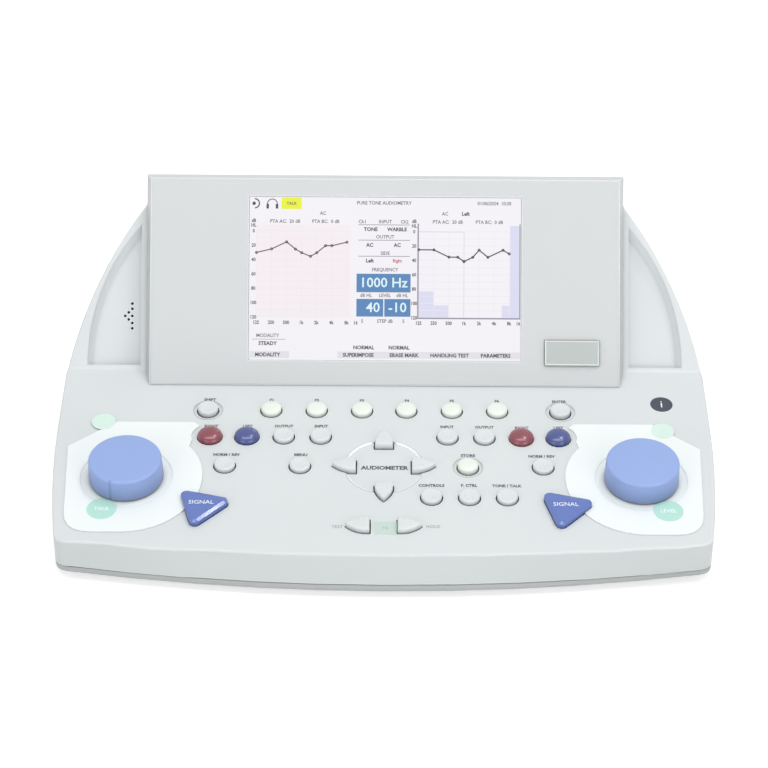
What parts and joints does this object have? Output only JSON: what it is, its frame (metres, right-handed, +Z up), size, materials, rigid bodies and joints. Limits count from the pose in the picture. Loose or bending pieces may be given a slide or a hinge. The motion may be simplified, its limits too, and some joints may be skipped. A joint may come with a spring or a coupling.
{
  "type": "desktop audiometer",
  "caption": "Desktop hearing-test console with a sloping panel of spring-return keys, two level dials and a reclined flat display in a winged back.",
  "frame": {"origin": "middle of the footprint on the surface it stands on", "axes": "+X to the right as the user faces it, -Y towards the user, +Z up"},
  "size_m": [0.357, 0.2479, 0.133],
  "materials": {
    "badge_plastic": "blank white plate with bevelled edges",
    "base_plastic": "fine-grained moulded ABS, a shade darker grey",
    "blue_key_plastic": "glossy dark blue dome",
    "board_laminate": "green glass-fibre circuit board",
    "dial_plastic": "satin blue moulding",
    "display_plastic": "smooth satin grey moulding",
    "foot_rubber": "black rubber",
    "grey_key_plastic": "satin light grey key",
    "housing_plastic": "fine-grained moulded ABS, light cool grey",
    "inlet_plastic": "black inlet moulding",
    "jack_plastic": "black socket moulding",
    "mat_rubber": "grey silicone keypad mat",
    "module_steel": "folded steel can of the display module",
    "plate_plastic": "satin white inlay",
    "rear_plate_metal": "grey painted connector plate",
    "red_key_plastic": "glossy dark red dome",
    "screen_glass": "clear window over the lit display",
    "screw_steel": "plain steel",
    "signal_key_plastic": "glossy blue key",
    "speaker_frame": "black pressed basket",
    "switch_plastic": "black rocker",
    "white_key_plastic": "satin warm white key"
  },
  "bodies": {
    "console": {"badge_plate": "badge_plastic", "bottom_shell": "base_plastic", "case_screw_1": "screw_steel", "case_screw_2": "screw_steel", "case_screw_3": "screw_steel", "case_screw_4": "screw_steel", "display_bezel": "display_plastic", "foot_1": "foot_rubber", "foot_2": "foot_rubber", "foot_3": "foot_rubber", "foot_4": "foot_rubber", "jack_1": "jack_plastic", "jack_2": "jack_plastic", "jack_3": "jack_plastic", "jack_4": "jack_plastic", "keypad_mat": "mat_rubber", "knob_plate_left": "plate_plastic", "knob_plate_right": "plate_plastic", "lcd_module": "module_steel", "main_board": "board_laminate", "power_inlet": "inlet_plastic", "rear_plate": "rear_plate_metal", "screen_window": "screen_glass", "speaker": "speaker_frame", "top_shell": "housing_plastic"},
    "arrow_key_down_body": {"arrow_key_down": "grey_key_plastic"},
    "arrow_key_left_body": {"arrow_key_left": "grey_key_plastic"},
    "arrow_key_right_body": {"arrow_key_right": "grey_key_plastic"},
    "arrow_key_up_body": {"arrow_key_up": "grey_key_plastic"},
    "input_key_left_1_body": {"input_key_left_1": "grey_key_plastic"},
    "input_key_left_2_body": {"input_key_left_2": "grey_key_plastic"},
    "input_key_right_1_body": {"input_key_right_1": "grey_key_plastic"},
    "input_key_right_2_body": {"input_key_right_2": "grey_key_plastic"},
    "lamp_key_blue_left_body": {"lamp_key_blue_left": "blue_key_plastic"},
    "lamp_key_blue_right_body": {"lamp_key_blue_right": "blue_key_plastic"},
    "lamp_key_red_left_body": {"lamp_key_red_left": "red_key_plastic"},
    "lamp_key_red_right_body": {"lamp_key_red_right": "red_key_plastic"},
    "level_key_left_body": {"level_key_left": "grey_key_plastic"},
    "level_key_right_body": {"level_key_right": "grey_key_plastic"},
    "menu_key_body": {"menu_key": "grey_key_plastic"},
    "mode_key_left_body": {"mode_key_left": "grey_key_plastic"},
    "mode_key_right_body": {"mode_key_right": "grey_key_plastic"},
    "select_key_left_body": {"select_key_left": "grey_key_plastic"},
    "select_key_right_body": {"select_key_right": "grey_key_plastic"},
    "signal_key_left_body": {"signal_key_left": "signal_key_plastic"},
    "signal_key_right_body": {"signal_key_right": "signal_key_plastic"},
    "soft_key_left_1_body": {"soft_key_left_1": "white_key_plastic"},
    "soft_key_left_2_body": {"soft_key_left_2": "white_key_plastic"},
    "soft_key_left_3_body": {"soft_key_left_3": "white_key_plastic"},
    "soft_key_right_1_body": {"soft_key_right_1": "white_key_plastic"},
    "soft_key_right_2_body": {"soft_key_right_2": "white_key_plastic"},
    "soft_key_right_3_body": {"soft_key_right_3": "white_key_plastic"},
    "store_key_body": {"store_key": "white_key_plastic"},
    "test_key_1_body": {"test_key_1": "grey_key_plastic"},
    "test_key_2_body": {"test_key_2": "grey_key_plastic"},
    "test_key_3_body": {"test_key_3": "grey_key_plastic"},
    "dial_left_body": {"dial_left": "dial_plastic"},
    "dial_right_body": {"dial_right": "dial_plastic"},
    "switch_body": {"power_switch": "switch_plastic"}
  },
  "joints": [
    {"name": "arrow_key_down_press", "type": "slide", "parent": "console", "child": "arrow_key_down_body", "axis": [0, 0.0958, -0.9954], "range_m": [0, 0.0012], "stiffness_N_per_m": 700},
    {"name": "arrow_key_left_press", "type": "slide", "parent": "console", "child": "arrow_key_left_body", "axis": [0, 0.0958, -0.9954], "range_m": [0, 0.0012], "stiffness_N_per_m": 700},
    {"name": "arrow_key_right_press", "type": "slide", "parent": "console", "child": "arrow_key_right_body", "axis": [0, 0.0958, -0.9954], "range_m": [0, 0.0012], "stiffness_N_per_m": 700},
    {"name": "arrow_key_up_press", "type": "slide", "parent": "console", "child": "arrow_key_up_body", "axis": [0, 0.0958, -0.9954], "range_m": [0, 0.0012], "stiffness_N_per_m": 700},
    {"name": "input_key_left_1_press", "type": "slide", "parent": "console", "child": "input_key_left_1_body", "axis": [0, 0.0958, -0.9954], "range_m": [0, 0.0012], "stiffness_N_per_m": 700},
    {"name": "input_key_left_2_press", "type": "slide", "parent": "console", "child": "input_key_left_2_body", "axis": [0, 0.0958, -0.9954], "range_m": [0, 0.0012], "stiffness_N_per_m": 700},
    {"name": "input_key_right_1_press", "type": "slide", "parent": "console", "child": "input_key_right_1_body", "axis": [0, 0.0958, -0.9954], "range_m": [0, 0.0012], "stiffness_N_per_m": 700},
    {"name": "input_key_right_2_press", "type": "slide", "parent": "console", "child": "input_key_right_2_body", "axis": [0, 0.0958, -0.9954], "range_m": [0, 0.0012], "stiffness_N_per_m": 700},
    {"name": "lamp_key_blue_left_press", "type": "slide", "parent": "console", "child": "lamp_key_blue_left_body", "axis": [0, 0.0958, -0.9954], "range_m": [0, 0.0012], "stiffness_N_per_m": 700},
    {"name": "lamp_key_blue_right_press", "type": "slide", "parent": "console", "child": "lamp_key_blue_right_body", "axis": [0, 0.0958, -0.9954], "range_m": [0, 0.0012], "stiffness_N_per_m": 700},
    {"name": "lamp_key_red_left_press", "type": "slide", "parent": "console", "child": "lamp_key_red_left_body", "axis": [0, 0.0958, -0.9954], "range_m": [0, 0.0012], "stiffness_N_per_m": 700},
    {"name": "lamp_key_red_right_press", "type": "slide", "parent": "console", "child": "lamp_key_red_right_body", "axis": [0, 0.0958, -0.9954], "range_m": [0, 0.0012], "stiffness_N_per_m": 700},
    {"name": "level_key_left_press", "type": "slide", "parent": "console", "child": "level_key_left_body", "axis": [0, 0.0958, -0.9954], "range_m": [0, 0.0012], "stiffness_N_per_m": 700},
    {"name": "level_key_right_press", "type": "slide", "parent": "console", "child": "level_key_right_body", "axis": [0, 0.0958, -0.9954], "range_m": [0, 0.0012], "stiffness_N_per_m": 700},
    {"name": "menu_key_press", "type": "slide", "parent": "console", "child": "menu_key_body", "axis": [0, 0.0958, -0.9954], "range_m": [0, 0.0012], "stiffness_N_per_m": 700},
    {"name": "mode_key_left_press", "type": "slide", "parent": "console", "child": "mode_key_left_body", "axis": [0, 0.0958, -0.9954], "range_m": [0, 0.0012], "stiffness_N_per_m": 700},
    {"name": "mode_key_right_press", "type": "slide", "parent": "console", "child": "mode_key_right_body", "axis": [0, 0.0958, -0.9954], "range_m": [0, 0.0012], "stiffness_N_per_m": 700},
    {"name": "select_key_left_press", "type": "slide", "parent": "console", "child": "select_key_left_body", "axis": [0, 0.0958, -0.9954], "range_m": [0, 0.0012], "stiffness_N_per_m": 700},
    {"name": "select_key_right_press", "type": "slide", "parent": "console", "child": "select_key_right_body", "axis": [0, 0.0958, -0.9954], "range_m": [0, 0.0012], "stiffness_N_per_m": 700},
    {"name": "signal_key_left_press", "type": "slide", "parent": "console", "child": "signal_key_left_body", "axis": [0, 0.0958, -0.9954], "range_m": [0, 0.0012], "stiffness_N_per_m": 700},
    {"name": "signal_key_right_press", "type": "slide", "parent": "console", "child": "signal_key_right_body", "axis": [0, 0.0958, -0.9954], "range_m": [0, 0.0012], "stiffness_N_per_m": 700},
    {"name": "soft_key_left_1_press", "type": "slide", "parent": "console", "child": "soft_key_left_1_body", "axis": [0, 0.0958, -0.9954], "range_m": [0, 0.0012], "stiffness_N_per_m": 700},
    {"name": "soft_key_left_2_press", "type": "slide", "parent": "console", "child": "soft_key_left_2_body", "axis": [0, 0.0958, -0.9954], "range_m": [0, 0.0012], "stiffness_N_per_m": 700},
    {"name": "soft_key_left_3_press", "type": "slide", "parent": "console", "child": "soft_key_left_3_body", "axis": [0, 0.0958, -0.9954], "range_m": [0, 0.0012], "stiffness_N_per_m": 700},
    {"name": "soft_key_right_1_press", "type": "slide", "parent": "console", "child": "soft_key_right_1_body", "axis": [0, 0.0958, -0.9954], "range_m": [0, 0.0012], "stiffness_N_per_m": 700},
    {"name": "soft_key_right_2_press", "type": "slide", "parent": "console", "child": "soft_key_right_2_body", "axis": [0, 0.0958, -0.9954], "range_m": [0, 0.0012], "stiffness_N_per_m": 700},
    {"name": "soft_key_right_3_press", "type": "slide", "parent": "console", "child": "soft_key_right_3_body", "axis": [0, 0.0958, -0.9954], "range_m": [0, 0.0012], "stiffness_N_per_m": 700},
    {"name": "store_key_press", "type": "slide", "parent": "console", "child": "store_key_body", "axis": [0, 0.0958, -0.9954], "range_m": [0, 0.0012], "stiffness_N_per_m": 700},
    {"name": "test_key_1_press", "type": "slide", "parent": "console", "child": "test_key_1_body", "axis": [0, 0.0958, -0.9954], "range_m": [0, 0.0012], "stiffness_N_per_m": 700},
    {"name": "test_key_2_press", "type": "slide", "parent": "console", "child": "test_key_2_body", "axis": [0, 0.0958, -0.9954], "range_m": [0, 0.0012], "stiffness_N_per_m": 700},
    {"name": "test_key_3_press", "type": "slide", "parent": "console", "child": "test_key_3_body", "axis": [0, 0.0958, -0.9954], "range_m": [0, 0.0012], "stiffness_N_per_m": 700},
    {"name": "dial_left_turn", "type": "hinge", "parent": "console", "child": "dial_left_body", "pos_m": [-0.1375, -0.06375, 0.03277], "axis": [0, -0.0958, 0.9954], "continuous": true},
    {"name": "dial_right_turn", "type": "hinge", "parent": "console", "child": "dial_right_body", "pos_m": [0.1375, -0.06375, 0.03277], "axis": [0, -0.0958, 0.9954], "continuous": true},
    {"name": "power_switch_rock", "type": "hinge", "parent": "console", "child": "switch_body", "pos_m": [-0.042, 0.1212, 0.034], "axis": [0, 0, 1], "range_deg": [0, 14]}
  ]
}
